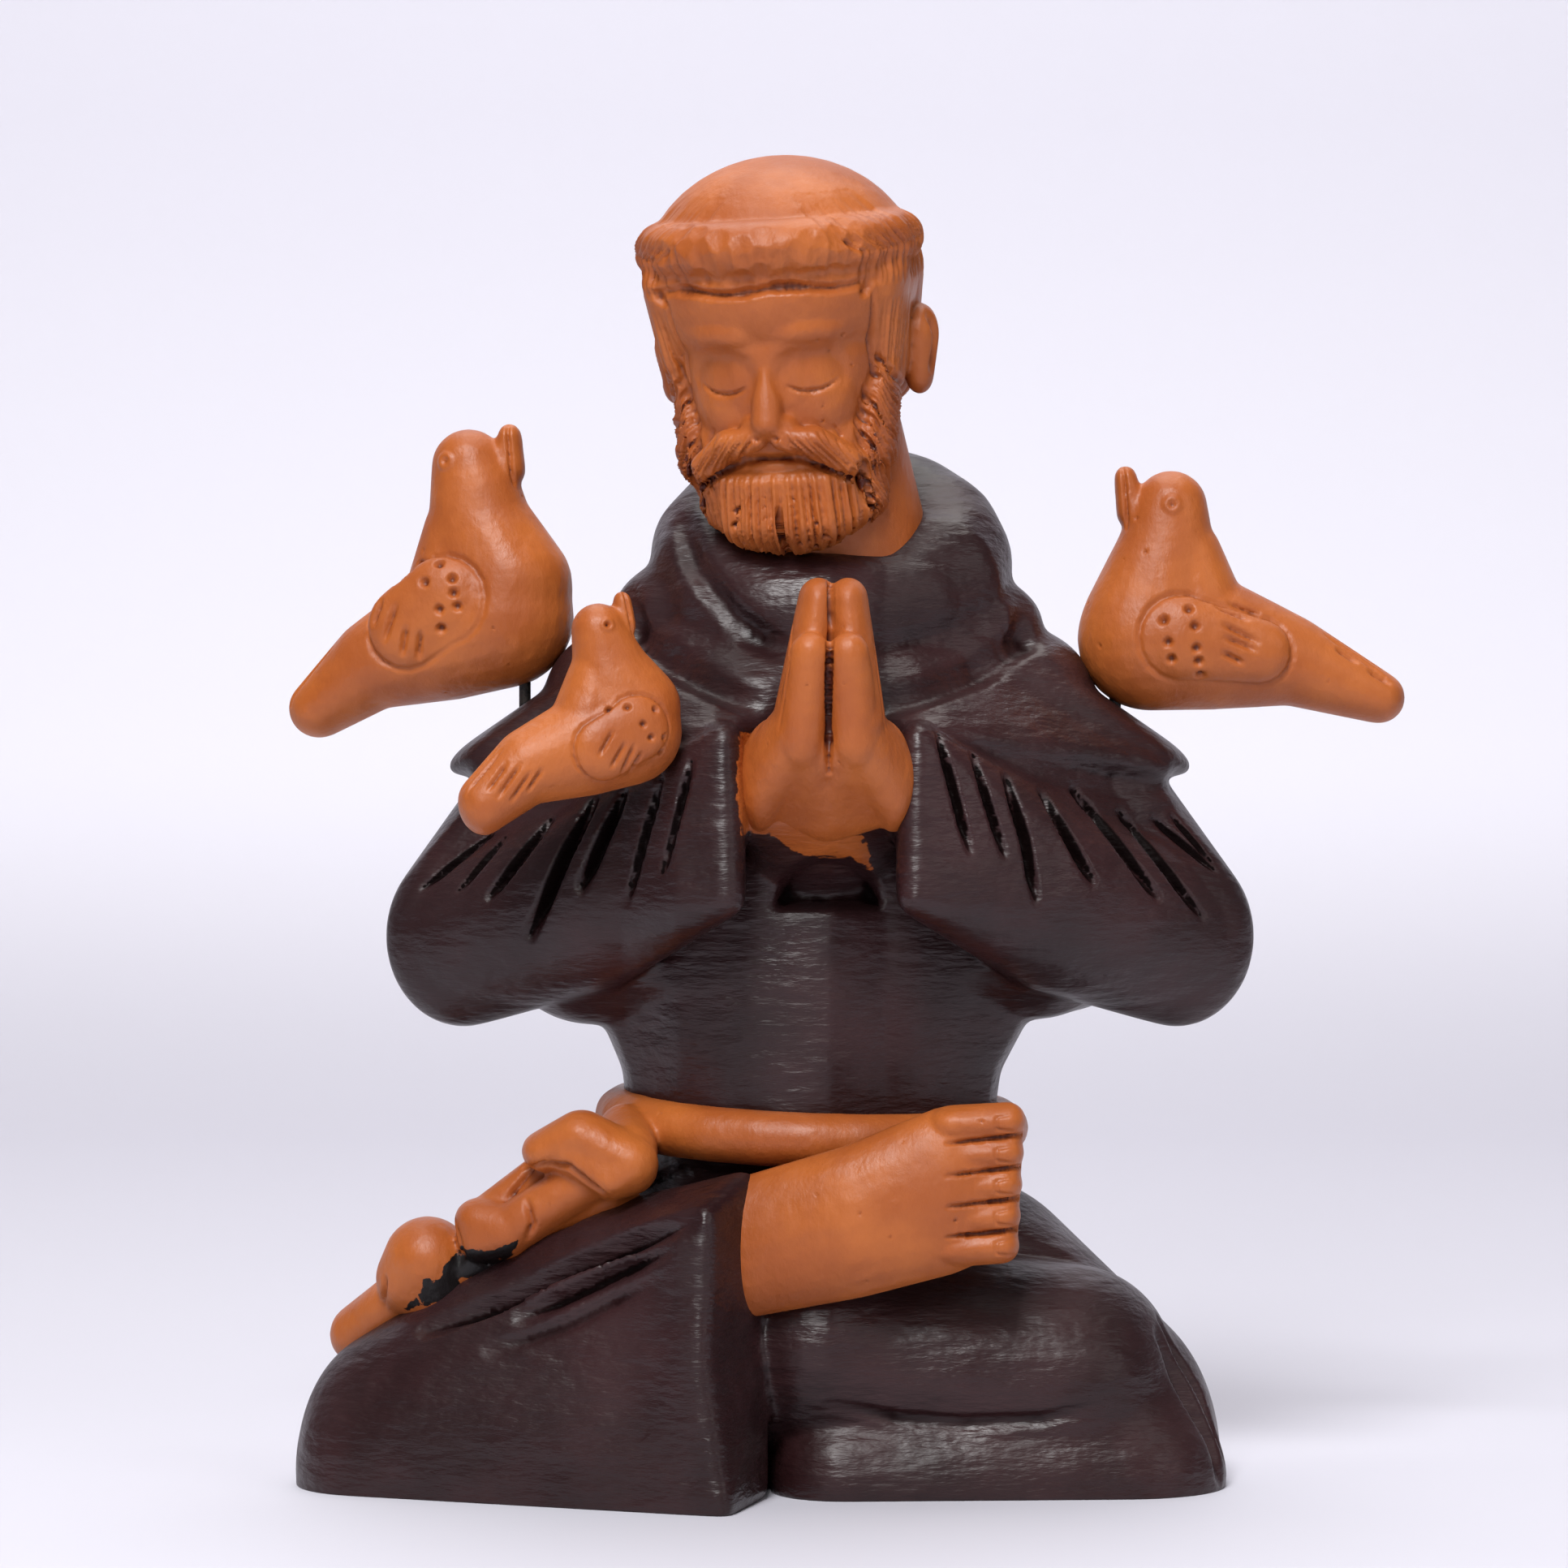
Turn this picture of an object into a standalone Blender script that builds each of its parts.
"""A seated Saint Francis with praying hands, a rope belt and three doves.

The friar is one solid casting. Each dove is a casting of its own. The two doves on the
shoulders stand on wire pegs, and the third one sits straight on the forearm.
X runs to the viewer's right, Y to the figure's back and Z up. The origin is on the
underside, below the middle of the waist. The modelling works in millimetres, and
each object is scaled to metres as it is made.
"""

import math

import bmesh
import bpy
import numpy as np
from mathutils import Euler, Matrix, Vector
from mathutils.bvhtree import BVHTree

MM = 0.001

# Driving dimensions, in millimetres
FIGURE_HEIGHT = 245.0
LARGE_DOVE_LENGTH = 62.0
SMALL_DOVE_LENGTH = 45.0
PEG_DIAMETER = 2.2
PEG_DEPTH = 6.0
SEAT_GAP = 0.35
SOCKET_CLEARANCE = 0.3

# The carving below is written for a figure of this height and a dove of this length
CARVED_HEIGHT = 245.0
CARVED_DOVE_LENGTH = 62.0
SHARE = FIGURE_HEIGHT / CARVED_HEIGHT

# Fineness of the fused clay and the triangles that each solid keeps
FIGURE_VOXEL = 1.3
DOVE_VOXEL = 0.8
FIGURE_TRIANGLES = 6400
DOVE_TRIANGLES = 760

# Paint: colour, roughness
ROBE_PAINT = ((0.072, 0.045, 0.046, 1.0), 0.42)
CLAY_PAINT = ((0.478, 0.168, 0.051, 1.0), 0.45)
WIRE_STEEL = ((0.03, 0.03, 0.035, 1.0), 0.5)


def clear_scene():
    for obj in list(bpy.data.objects):
        bpy.data.objects.remove(obj, do_unlink=True)


def new_collection(name):
    made = bpy.data.collections.new(name)
    bpy.context.scene.collection.children.link(made)
    return made


def paint(name, look, metallic=0.0):
    colour, roughness = look
    made = bpy.data.materials.new(name)
    made.use_nodes = True
    shader = made.node_tree.nodes["Principled BSDF"]
    shader.inputs["Base Color"].default_value = colour
    shader.inputs["Roughness"].default_value = roughness
    shader.inputs["Metallic"].default_value = metallic
    return made


def placed(mesh, name, collection):
    obj = bpy.data.objects.new(name, mesh)
    collection.objects.link(obj)
    return obj


def hull(balls):
    """The convex hull of a few ellipsoids (x, y, z, rx, ry, rz, turn), as a closed mesh."""
    points = bmesh.new()
    for x, y, z, rx, ry, rz, *turn in balls:
        angles = Euler([math.radians(a) for a in (turn or (0, 0, 0))])
        matrix = Matrix.LocRotScale(Vector((x, y, z)), angles, Vector((rx, ry, rz)))
        sphere = bmesh.new()
        bmesh.ops.create_icosphere(sphere, subdivisions=2, radius=1.0, matrix=matrix)
        for vertex in sphere.verts:
            points.verts.new(vertex.co)
        sphere.free()
    made = bmesh.ops.convex_hull(points, input=points.verts)
    inner = [v for v in made["geom_interior"] if isinstance(v, bmesh.types.BMVert)]
    bmesh.ops.delete(points, geom=inner, context="VERTS")
    bmesh.ops.recalc_face_normals(points, faces=points.faces)
    return points


def chain(balls):
    """Hulls between each ellipsoid and the next one, like clay rolled into a limb."""
    return [balls[i : i + 2] for i in range(len(balls) - 1)]


def ring(centre, spread, radii, count, tilt=0.0, lean=0.0):
    """Ellipsoids round an oval, closed; tilt lifts its back, lean lifts its +X side."""
    x, y, z = centre
    angles = [math.tau * i / count for i in range(count + 1)]
    return [
        (
            x + spread[0] * math.cos(a),
            y + spread[1] * math.sin(a),
            z + tilt * math.sin(a) + lean * math.cos(a),
            *radii,
        )
        for a in angles
    ]


def mirrored(balls):
    """The same ellipsoids on the other side of the body."""
    flips = (-1, 1, 1, 1, 1, 1, 1, -1, -1)
    return [tuple(value * flip for value, flip in zip(ball, flips)) for ball in balls]


def heap(name, groups, matrix, collection):
    """All the hulls of the groups as one mesh of overlapping closed lumps, in metres."""
    whole = bmesh.new()
    for balls in groups:
        lump = hull(balls)
        mesh = bpy.data.meshes.new("lump")
        lump.to_mesh(mesh)
        lump.free()
        whole.from_mesh(mesh)
        bpy.data.meshes.remove(mesh)
    whole.transform(Matrix.Scale(MM, 4) @ matrix)
    mesh = bpy.data.meshes.new(name)
    whole.to_mesh(mesh)
    whole.free()
    return placed(mesh, name, collection)


def modifier(obj, kind, **settings):
    made = obj.modifiers.new(kind.title(), kind)
    for key, value in settings.items():
        setattr(made, key, value)
    return made


def baked(obj):
    """Makes the object's modifiers part of its mesh."""
    bpy.context.view_layer.update()
    graph = bpy.context.evaluated_depsgraph_get()
    mesh = bpy.data.meshes.new_from_object(obj.evaluated_get(graph))
    obj.modifiers.clear()
    old, obj.data = obj.data, mesh
    bpy.data.meshes.remove(old)
    return obj


def fused(name, groups, voxel, rounds, collection, matrix=None):
    """Lumps of clay pressed into one body: joined by a voxel remesh, then rubbed smooth."""
    obj = heap(name, groups, matrix or Matrix.Identity(4), collection)
    modifier(obj, "REMESH", mode="VOXEL", voxel_size=voxel * MM, adaptivity=0.0)
    if rounds:
        modifier(obj, "SMOOTH", factor=0.5, iterations=rounds)
    return baked(obj)


def joined(name, objects, voxel, rounds, collection):
    """Several finished bodies fused into one."""
    whole = bmesh.new()
    for obj in objects:
        whole.from_mesh(obj.data)
        bpy.data.objects.remove(obj, do_unlink=True)
    mesh = bpy.data.meshes.new(name)
    whole.to_mesh(mesh)
    whole.free()
    obj = placed(mesh, name, collection)
    modifier(obj, "REMESH", mode="VOXEL", voxel_size=voxel * MM, adaptivity=0.0)
    modifier(obj, "SMOOTH", factor=0.5, iterations=rounds)
    return baked(obj)


def thinned(obj, triangles):
    """Reduces the mesh to about this many triangles."""
    obj.data.calc_loop_triangles()
    share = triangles / len(obj.data.loop_triangles)
    modifier(obj, "TRIANGULATE")
    modifier(obj, "DECIMATE", ratio=min(1.0, share), use_collapse_triangulate=True)
    return baked(obj)


def cut(obj, cutter, operation="DIFFERENCE"):
    modifier(obj, "BOOLEAN", operation=operation, solver="EXACT", object=cutter)
    return baked(obj)


def as_cutter(obj):
    obj.hide_render = True
    obj.display_type = "WIRE"
    return obj


# The friar's body, in millimetres

SEAT = [
    [(0, 18, 20, 50, 31, 30), (-2, 4, 58, 36, 27, 10)],
    [(0, -2, 26, 44, 34, 24)],
    [(-42, 2, 5, 30, 24, 9), (42, 2, 5, 26, 24, 9), (0, -14, 6, 20, 10, 4)],
]
TORSO = chain(
    [
        (-1.8, 1, 62, 34, 26, 10),
        (-1.5, 0, 76, 35.5, 26, 8),
        (-0.5, 0, 94, 44, 26, 10),
        (0, 2, 112, 48, 27, 14),
        (0, 4, 134, 44, 26, 14),
        (1, 5, 158, 28, 22, 12),
    ]
)
BULK = [
    [(-44, 2, 106, 20, 22, 20), (44, 2, 106, 20, 22, 20)],
    [(-42, 0, 94.5, 15, 21, 10.5), (40, 0, 95.5, 14, 21, 10.5)],
    [(-37, 6, 144, 15, 19, 14.5), (37, 6, 144, 15, 19, 14.5)],
]
HEM_TOP = [(-20.8, -49.5, 52.3, 2.5, 2.5, 2.5), (-14.0, -36, 57.5, 2.5, 2.5, 2.5)]
HEM_MIDDLE = [(-22.0, -52.5, 27, 2.5, 2.5, 2.5), (-12.0, -31, 30, 2.5, 2.5, 2.5)]
HEM_BOTTOM = [(-17.9, -54.5, 1, 2.5, 2.5, 2.5), (-11.8, -34, 2, 2.5, 2.5, 2.5)]
KNEE = (-80.5, -14, 3, 16.5, 18, 25)
RIGHT_LEG = [
    [(-30, 8, 28, 26, 28, 24), (-76, -2, 6, 18, 22, 23)],
    [KNEE, (-45, -26, 41, 8, 12, 10), *HEM_TOP, *HEM_MIDDLE],
    [KNEE, *HEM_MIDDLE, *HEM_BOTTOM],
]
LEFT_LEG = [
    [(26, 10, 29, 26, 27, 26), (54, -8, 3, 20.5, 26, 30)],
    [(0, -19, 27, 18, 20, 19), (46.5, -16, 22, 19, 21, 18.5)],
    [(4, -24, 2, 13.5, 15, 13), (54.5, -16.5, 2, 20.5, 19.5, 17)],
]
CAPE = [
    [(-52, 5, 139.5, 17.5, 19, 4.5, 0, -24, 0), (0, 3, 160, 30, 25, 8)],
    [(-49, -4, 135.5, 17, 17, 4.5, 0, -14, 0), (-21, -30, 138, 8, 8, 4), (0, -2, 156, 27, 22, 8)],
]
ARM = [
    [(-54, 0, 124, 13, 18, 9.5), (-48, -10, 122, 14, 12, 9), (-24, -32, 130, 6, 8, 9)],
    *chain([(-48, 6, 128, 16, 18, 12), (-66.3, -4, 100.8, 14.5, 18, 17), (-42, -22, 109, 14, 15, 18)]),
    [
        (-42, -22, 109, 14, 15, 18),
        (-17.5, -39, 137.5, 3.5, 6, 4),
        (-17.0, -46, 109.5, 3.5, 4, 3.5),
        (-17.5, -36, 110, 4, 6, 4),
    ],
]
LAP_OF_HANDS = [[(-11, -33, 128, 6, 8, 9), (11, -33, 128, 6, 8, 9), (1, -21, 119, 16, 8, 11)]]
HOOD = [
    *chain(ring((2, 4, 170), (21.8, 18.5), (12.5, 12.5, 13), 15, 11)),
    [(-22, 4, 160, 17, 16, 12), (26, 4, 158, 16, 16, 11), (1, 6, 150, 38, 22, 8)],
    [(0, 25, 172, 21, 13, 17), (0, 31, 138, 13, 8, 11)],
]

# The rope belt, its knot and its hanging ends

BELT = ring((-1.5, 1, 65.9), (35.5, 29.5), (5.1, 5.1, 5.1), 24, 1.3, -1.3)
KNOT = [
    [(-50.6, -27, 62.6, 4.0, 6, 3.8), (-43.5, -29.5, 65.6, 5.4, 6.5, 4.8)],
    [(-43.5, -29.5, 65.6, 5.4, 6.5, 4.8), (-34.4, -31.5, 60.5, 5.0, 6, 5.6)],
    [(-34.4, -31.5, 60.5, 5.0, 6, 5.6), (-37.6, -31.5, 57.8, 4.4, 6, 3.8), (-46, -29, 63.0, 4.4, 6, 4.4)],
]
KNOT += [
    [(-36, -17, 65.4, 5.0, 5.4, 5.2), (-34.6, -28, 62.4, 5.0, 6, 5.4)],
    [(-37, -20, 62.5, 5, 7, 6), (-46, -23, 61.6, 5, 6, 5)],
]
TUBES = [
    *chain([(-42.0, -27.5, 57.6, 4.8, 5.4, 4.8), (-54.6, -25, 49.4, 4.6, 5.4, 4.8)]),
    *chain([(-49, -20, 59.0, 4.2, 4.2, 4.2), (-60.4, -19, 50.4, 4.2, 4.2, 4.0)]),
    *chain([(-38, -24, 54, 5, 6, 5), (-54, -20, 46.5, 5, 6, 5), (-69, -14, 38.5, 5, 7, 5)]),
]
SMALL_KNOT = [
    [(-57.0, -24, 47.6, 4.8, 6, 5.0), (-62.6, -21.5, 49.4, 4.6, 6, 4.2), (-61.5, -22, 45.6, 5, 6, 4)],
]
BLOB = [[(-72.4, -15.5, 41.6, 8.2, 9, 8.0), (-75.0, -13.5, 38.0, 7.2, 8.5, 7.2), (-70, -14, 35, 7, 8, 6)]]
ROPE_END = [*chain([(-78, -8, 32.5, 6.0, 7, 6.0), (-85.4, -2, 26.2, 6.2, 6.6, 6.0)])]

# The bare foot, sole inwards

FOOT = chain(
    [
        (-13, -35, 46, 6, 8, 13),
        (6, -40.0, 51, 9, 8, 14),
        (22, -41, 56.5, 9, 7.5, 15.2),
        (29, -41, 58, 4, 6.0, 14.2),
    ]
)
TOE_HEIGHTS = (69.4, 63.7, 58.0, 52.4, 47.0)
TOES = [
    [(24, -42, z - 0.6, 5, 5.4, 3.4), (33.6 - 0.05 * (69.4 - z), -42.6, z, 3.2, 5.2, 3.35)]
    for z in TOE_HEIGHTS
]
BALL_OF_FOOT = [(26, -42, 67, 5, 4.6, 3.4), (26, -42, 49, 5, 4.6, 3.4)]
TOES.append([*BALL_OF_FOOT, (34.0, -42, 68, 2.4, 4.4, 2.4), (33.0, -42, 48, 2.4, 4.4, 2.4)])

# The praying hands

HANDS = [
    half
    for s in (-1, 1)
    for half in (
        [(1.4 + 5.0 * s, -45, 141, 5.2, 8, 7), (2.1 + 2.7 * s, -44, 163, 3.6, 6.5, 4.0)],
        [(1.0 + 5.0 * s, -45, 139, 5.4, 7.5, 7), (1.0 + 12.0 * s, -37, 130, 4.4, 8, 9)],
        [(1.2 + 4.8 * s, -47.5, 139, 4.6, 5.4, 7), (1.4 + 3.4 * s, -52.0, 153.4, 3.7, 3.6, 3.8)],
        [(1.2 + 4.8 * s, -47, 138, 4.6, 5.4, 6), (1 + 10 * s, -38, 128, 5, 6, 7), (1, -38, 124, 6, 6, 6)],
    )
]
WRISTS = [(-8, -40, 134, 6, 6, 8), (10, -40, 134, 6, 6, 8)]
PALMS = [[*WRISTS, (1.2, -45, 137, 6, 6, 7), (1.6, -33, 120, 7, 6, 5)]]

# The head, in its own frame: the origin in the skull, Z to the crown

HEAD_PLACE = Vector((-6.2, -11.0, 214.0))
HEAD_TURN = Euler([math.radians(a) for a in (15, -2, -12)])
FRINGE = ring((-0.4, 1.5, 14.2), (20.9, 22.5), (6.0, 6.0, 5.8), 24, -3.2)
SKULL = [
    [(-0.6, 2, 9.4, 25.4, 27, 21.4)],
    [(0, -1, -3, 20.0, 22.5, 20), (0, -5, -18, 17.0, 17, 16)],
    [(0, 10, -2, 20, 16, 16), (0, 8, -14, 15, 12, 10)],
]
HAIR = [
    *chain(FRINGE),
    *[
        half
        for s in (-1, 1)
        for half in (
            [(19.8 * s, -6, 11, 5.0, 10, 5), (19.0 * s, -4, -12, 3.2, 8, 4)],
            [(19.0 * s, 10, 8, 5.5, 11, 7), (16.0 * s, 12, -12, 5, 8, 6)],
        )
    ],
    [(0, 17, 6, 19, 11, 10), (0, 15, -11, 14, 9, 8)],
]
BEARD = [
    [(0, -6, -18, 19.8, 16, 7), (1, -11, -31.0, 18.2, 12.5, 7.5)],
    [(0, -14, -25, 16.5, 11.2, 3), (1, -16.2, -32.4, 14.2, 11.0, 7.2)],
    *[
        [(18.8 * s, -5, -12, 3.0, 7, 6), (16.8 * s, -9, -22, 4.0, 8, 6)]
        for s in (-1, 1)
    ],
]
MOUSTACHE = [
    half
    for s in (-1, 1)
    for half in chain(
        [
            (2.6 * s, -24.6, -16.6, 2.5, 2.6, 2.4),
            (7.8 * s, -23.4, -17.8, 3.2, 3.2, 3.0),
            (13.2 * s, -19.8, -22.8, 2.9, 3.2, 3.0),
        ]
    )
]
FACE = [
    [(0, -20.4, -2.5, 2.6, 2.6, 3.0), (0, -25.0, -13.2, 2.9, 2.8, 2.6)],
    [(-3.0, -23.0, -14.0, 2.2, 2.2, 1.9), (3.0, -23.0, -14.0, 2.2, 2.2, 1.9)],
]
EARS = [
    half
    for s in (-1, 1)
    for half in chain([(24.0 * s, 7.0, -4.0, 3.0, 5.2, 5.4), (23.0 * s, 5.6, -11.6, 2.7, 3.8, 3.8)])
]
NECK = chain([(-2.5, -6, 196, 17.5, 16, 10), (3, 1, 168, 19, 17, 10)])
BEARD_LOCKS = [
    [
        (19.4 * math.sin(a), -7 - 15.0 * math.cos(a), -20 + 1.5 * math.cos(a), 2.5, 2.5, 4),
        (1 + 17.4 * math.sin(a), -11 - 13.4 * math.cos(a), -33.5 - 3.8 * math.cos(a), 2.2, 2.2, 3),
    ]
    for a in (math.radians(15 * i) for i in range(-6, 7))
]
SIDE_LOCKS = [
    [
        (19.8 * side, -3 - 2.2 * i, -8 - 4.2 * i, 2.0, 2.6, 2.2),
        (18.8 * side, -10 - 1.6 * i, -13 - 4.2 * i, 1.8, 2.4, 2.0),
    ]
    for side in (-1, 1)
    for i in range(4)
]
EYELIDS = [[(8.2 * side, -18.6, -6.0, 4.0, 2.6, 2.6)] for side in (-1, 1)]
BROWS = [[(8 * side, -19.8, 0.6, 6.4, 2.4, 1.8)] for side in (-1, 1)]
CHEEKS = [[(11.0 * side, -16.0, -12.5, 5, 4.0, 4)] for side in (-1, 1)]

# Grooves pressed from the front: points (x, z) down the stroke, half width, depth

SLEEVE_CUTS = [
    ([(-23.3, 134), (-28.4, 114)], 1.5, 2.0),
    ([(-28.9, 131), (-34.9, 109)], 1.6, 2.4),
    ([(-35.9, 128), (-43.4, 111)], 2.1, 3.2),
    ([(-41.2, 127), (-46.5, 117), (-53.0, 102)], 2.4, 3.8),
    ([(-49.3, 123), (-60.5, 109)], 1.9, 2.8),
    ([(-60.5, 120), (-73.4, 110)], 1.5, 1.6),
    ([(21.2, 139), (26.8, 118)], 1.5, 2.4),
    ([(27.5, 135), (33.2, 117)], 1.5, 2.2),
    ([(33.6, 131), (37, 120), (39.0, 109)], 1.8, 3.2),
    ([(40.3, 128), (49.5, 112)], 1.8, 3.0),
    ([(46.6, 128), (54, 119), (61.6, 109)], 2.2, 3.6),
    ([(55.1, 124), (64, 113), (70.2, 105)], 1.8, 2.4),
    ([(63.0, 123), (73.0, 114)], 1.4, 1.6),
]
LAP_FOLDS = [
    ([(-24, 52.6), (-44.5, 43.4), (-58, 37), (-72, 31)], 3.2, 2.8),
    ([(-25, 57.6), (-42.5, 51.2), (-57, 45.2), (-76.5, 35.2)], 1.8, 1.4),
    ([(60.2, 28.3), (64.8, 17.4), (68.4, 9.2), (69, 3)], 2.4, 2.2),
    ([(-8, 16), (3, 13.6), (18, 12.4), (36.5, 13), (46.4, 15)], 2.2, 1.2),
]
CAPE_FOLDS = [
    ([(68, 129.5), (55.5, 128.5), (43.5, 129.5), (28.4, 136.5), (17, 141.5)], 2.2, 1.6),
    ([(-68, 129.5), (-55.5, 128.5), (-43.5, 129.5), (-28.4, 136.5), (-17, 141.5)], 2.2, 1.6),
    ([(9, 143), (28.3, 149.6), (37.5, 155.6), (38, 162)], 3.2, 2.4),
    ([(-9, 143), (-24, 149.6), (-33.5, 155.6), (-36, 164)], 3.2, 2.4),
    ([(-25.5, 178), (-24, 170.5), (-16.5, 160), (-7.6, 154)], 2.8, 2.2),
]
RECESS = [
    ([(-3.5, 109.6), (6, 109.6)], 6.0, 4.0),
]
TOE_GAPS = [
    ([(22.5, 0.5 * (a + b) - 0.9), (37.5, 0.5 * (a + b) + 0.6)], 1.2, 1.5)
    for a, b in zip(TOE_HEIGHTS, TOE_HEIGHTS[1:])
]
HAND_GAP = [
    ([(1.5, 156.5), (1.3, 134)], 1.1, 1.8),
]
KNOT_GROOVES = [
    ([(-54.4, 59.2), (-50.0, 60.6), (-45.8, 60.4), (-41.6, 57.2), (-38.0, 54.4)], 1.4, 1.6),
    ([(-53.6, 53.8), (-52.4, 49.6), (-53.2, 47.0)], 1.3, 1.3),
    ([(-67.2, 50.0), (-66.0, 46.0), (-65.4, 43.0)], 1.3, 1.4),
]


def pressed(obj, strokes):
    """Presses grooves into the front of the mesh: each runs over the surface as seen from -Y."""
    size = MM * SHARE
    tree = BVHTree.FromPolygons([v.co for v in obj.data.vertices], [p.vertices for p in obj.data.polygons])
    count = len(obj.data.vertices)
    where = np.empty(count * 3)
    obj.data.vertices.foreach_get("co", where)
    where = where.reshape(-1, 3)
    facing = np.empty(count * 3)
    obj.data.vertices.foreach_get("normal", facing)
    facing = facing.reshape(-1, 3)
    moved = np.zeros(count)
    for line, half_width, depth in strokes:
        for (x0, z0), (x1, z1) in zip(line, line[1:]):
            steps = max(2, round(math.hypot(x1 - x0, z1 - z0)))
            for i in range(steps + 1):
                t = i / steps
                eye = Vector((x0 + (x1 - x0) * t, -200, z0 + (z1 - z0) * t)) * size
                spot = tree.ray_cast(eye, Vector((0, 1, 0)))[0]
                if spot is None:
                    continue
                away = np.linalg.norm(where - np.array(spot), axis=1) / (half_width * size)
                press = np.clip(1 - away**2, 0, 1) * depth * size
                moved = np.maximum(moved, press)
    where -= facing * moved[:, None]
    obj.data.vertices.foreach_set("co", where.ravel())
    obj.data.update()
    return obj


# A dove in its own frame: beak to +X, the origin under its breast

BREAST = [(0, 0, 13.8, 13.4, 12.6, 13.6), (-12, 0, 12.8, 11.8, 11.4, 12.4)]
NAPE = (-9, 0, 20, 9, 9.5, 8)
NAPE_TOP = (-4, 0, 0.5, 6.6, 7.4, 6)
THROAT = (-1, 0, 20, 12.3, 11, 9)
DOVES = {
    "dove_right_shoulder": dict(
        place=(-56.4, 8, 146.9),
        angles=(0, -13, -12),
        length=LARGE_DOVE_LENGTH,
        tail=[(-26.5, 0, 10.6, 8, 9.4, 8.6), (-39.0, 0, 4.9, 5.8, 7.0, 5.7)],
        breast=(2.4, 0, 19, 12, 11.8, 11.5),
        neck=[(-0.6, 0, 31.6, 9.9, 9.2, 8), (-0.1, 0, 37.6, 8.7, 8.2, 7), (-0.2, 0, 42.9, 7.0, 6.9, 6.9)],
        beak=[(8.8, 0, 46.3, 2.3, 2.9, 2.6), (7.2, 0, 40.2, 3.2, 3.6, 3.2)],
        wing=[(-8.1, 8.8, 18.6, 8.6, 4.4, 8.6), (-16.2, 8.8, 15.4, 8.0, 3.6, 8.0)],
    ),
    "dove_left_shoulder": dict(
        place=(61.6, 5, 142.3),
        angles=(0, 0, 180),
        length=LARGE_DOVE_LENGTH,
        tail=[(-26.5, 0, 9.7, 8, 9, 8.5), (-43.2, 0, 2.7, 5.0, 6.4, 4.9)],
        breast=(0, 0, 16, 12.8, 12, 12),
        neck=[(-3.1, 0, 29.5, 9.6, 8.8, 8), (-4.2, 0, 38.4, 6.9, 6.8, 6.9)],
        beak=[(4.3, 0, 43.8, 2.2, 2.9, 2.5), (3.2, 0, 37.4, 2.9, 3.6, 3.2)],
        wing=[(-5.6, 9.2, 14.0, 8.2, 4.4, 8.2), (-20.0, 8.4, 11.4, 6.4, 3.4, 5.8)],
    ),
    "dove_forearm": dict(
        place=(-32.3, -42, 129.8),
        angles=(0, -14, 16),
        length=SMALL_DOVE_LENGTH,
        tail=[(-27.0, 0, 11.4, 8, 9.4, 9.4), (-40.4, 0, 5.0, 5.6, 7.4, 7.4)],
        breast=(2.4, 0, 18.6, 12, 11.6, 11.3),
        neck=[(-0.8, 0, 29.0, 9.8, 9.0, 8), (-1.0, 0, 33.4, 8.4, 8.0, 7), (-1.4, 0, 39.6, 6.7, 6.7, 6.6)],
        beak=[(6.2, 0, 44.8, 2.3, 2.9, 2.7), (5.2, 0, 39.0, 3.0, 3.6, 3.2)],
        wing=[(-0.4, 9.8, 14.6, 8.4, 4.4, 8.6), (-9.4, 9.4, 11.6, 8.0, 4.0, 8.0)],
    ),
}
PEGS = {
    "peg_right_shoulder": ("dove_right_shoulder", (-55.4, 8, 145.5)),
    "peg_left_shoulder": ("dove_left_shoulder", (55.4, 5, 144.5)),
}


def figure(collection):
    """The friar as one solid, standing flat on the ground plane."""
    size = Matrix.Scale(SHARE, 4)
    voxel = FIGURE_VOXEL * SHARE
    robe = [
        *SEAT,
        *TORSO,
        *BULK,
        *RIGHT_LEG,
        *LEFT_LEG,
        *ARM,
        *map(mirrored, ARM),
        *CAPE,
        *map(mirrored, CAPE),
        *HOOD,
        *LAP_OF_HANDS,
    ]
    body = fused("robe", robe, voxel, 5, collection, size)
    pressed(body, SLEEVE_CUTS + LAP_FOLDS + CAPE_FOLDS + RECESS)
    rope = [*chain(BELT), *KNOT, *TUBES, *SMALL_KNOT, *BLOB, *ROPE_END]
    skin = [*FOOT, *TOES, *HANDS, *PALMS, *rope, *NECK]
    limbs = fused("limbs", skin, voxel, 1, collection, size)
    pressed(limbs, TOE_GAPS + HAND_GAP + KNOT_GROOVES)
    head_parts = [
        *SKULL,
        *HAIR,
        *BEARD,
        *BEARD_LOCKS,
        *SIDE_LOCKS,
        *MOUSTACHE,
        *FACE,
        *EYELIDS,
        *BROWS,
        *CHEEKS,
        *EARS,
    ]
    head_frame = size @ Matrix.LocRotScale(HEAD_PLACE, HEAD_TURN, None)
    head = fused("head", head_parts, voxel, 1, collection, head_frame)
    whole = joined("figure", [body, limbs, head], voxel, 1, collection)
    return thinned(whole, FIGURE_TRIANGLES)


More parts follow.
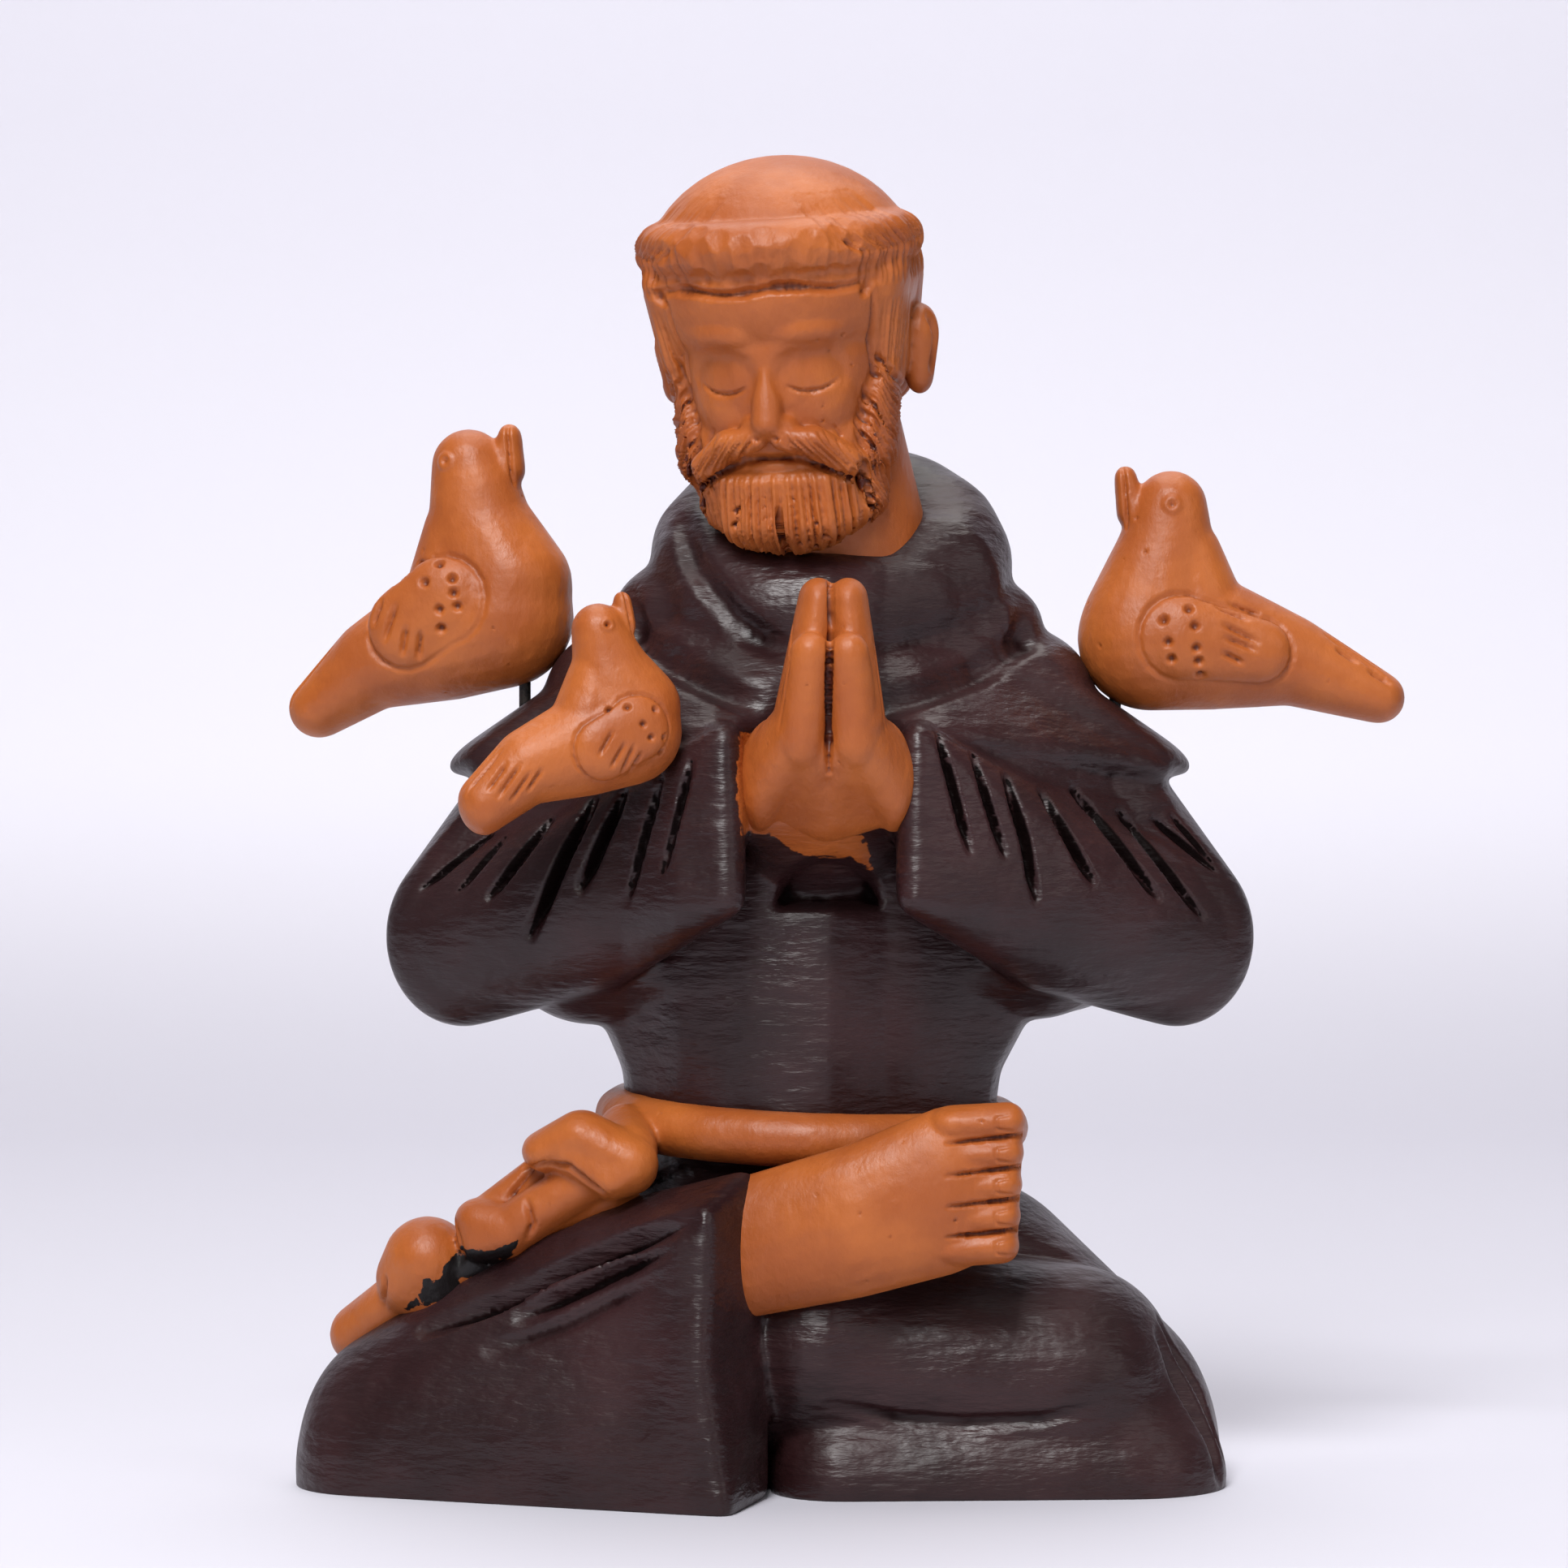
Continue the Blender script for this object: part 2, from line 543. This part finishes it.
def dove(name, collection):
    """One dove, its beak turned by its yaw and lifted by its pitch."""
    shape = DOVES[name]
    turn = Euler([math.radians(a) for a in shape["angles"]], "XYZ")
    share = shape["length"] / CARVED_DOVE_LENGTH
    matrix = Matrix.LocRotScale(Vector(shape["place"]) * SHARE, turn, Vector((share, share, share)))
    neck = shape["neck"]
    nape_top = tuple(a + b for a, b in zip(NAPE_TOP, (neck[0][0], 0, neck[0][2], 0, 0, 0)))
    lumps = [
        *chain([*BREAST, *shape["tail"]]),
        *chain([THROAT, *neck]),
        [BREAST[0], shape["breast"]],
        [NAPE, nape_top],
        shape["beak"],
        *[[(x, y * s, z, rx, ry, rz) for x, y, z, rx, ry, rz in shape["wing"]] for s in (-1, 1)],
    ]
    bird = fused(name, lumps, DOVE_VOXEL * share, 6, collection, matrix)
    return thinned(bird, DOVE_TRIANGLES)


def floor_cutter(collection):
    """A block below the ground plane, which leaves the underside flat."""
    deep = 60 * SHARE * MM
    bpy.ops.mesh.primitive_cube_add(size=1, location=(0, 0, -deep / 2))
    block = bpy.context.object
    block.name = "floor_cutter"
    block.scale = (0.4 * SHARE, 0.4 * SHARE, deep)
    return moved_to(block, collection)


def moved_to(obj, collection):
    for old in list(obj.users_collection):
        old.objects.unlink(obj)
    collection.objects.link(obj)
    bpy.context.view_layer.objects.active = obj
    bpy.ops.object.transform_apply(location=True, rotation=True, scale=True)
    return obj


def rod(name, place, diameter, length, collection):
    bpy.ops.mesh.primitive_cylinder_add(
        vertices=20,
        radius=diameter / 2 * MM,
        depth=length * MM,
        location=Vector(place) * SHARE * MM,
    )
    bpy.context.object.name = name
    return moved_to(bpy.context.object, collection)


def grown(obj, gap, collection):
    """A copy of the object with its surface moved out by the gap."""
    shell = placed(obj.data.copy(), obj.name + "_grown", collection)
    modifier(shell, "DISPLACE", strength=gap * MM, mid_level=0.0)
    return as_cutter(baked(shell))


def main():
    clear_scene()
    model = new_collection("saint_francis")
    cutters = new_collection("cutters")
    robe_paint = paint("robe_paint", ROBE_PAINT)
    clay_paint = paint("clay_paint", CLAY_PAINT)
    wire_steel = paint("wire_steel", WIRE_STEEL, metallic=0.6)

    friar = cut(figure(model), as_cutter(floor_cutter(cutters)))
    birds = {name: dove(name, model) for name in DOVES}
    seat = grown(friar, SEAT_GAP, cutters)
    for bird in birds.values():
        cut(bird, seat)

    pegs = []
    for name, (bird, place) in PEGS.items():
        length = 2 * PEG_DEPTH + 2.0
        pegs.append(rod(name, place, PEG_DIAMETER, length, model))
        bore = PEG_DIAMETER + 2 * SOCKET_CLEARANCE
        socket = as_cutter(rod(name + "_socket", place, bore, length + 2 * SOCKET_CLEARANCE, cutters))
        cut(friar, socket)
        cut(birds[bird], socket)

    for obj, look in [(friar, robe_paint)] + [(b, clay_paint) for b in birds.values()]:
        obj.data.materials.clear()
        obj.data.materials.append(look)
    for obj in pegs:
        obj.data.materials.append(wire_steel)
        obj.data.shade_smooth()


main()
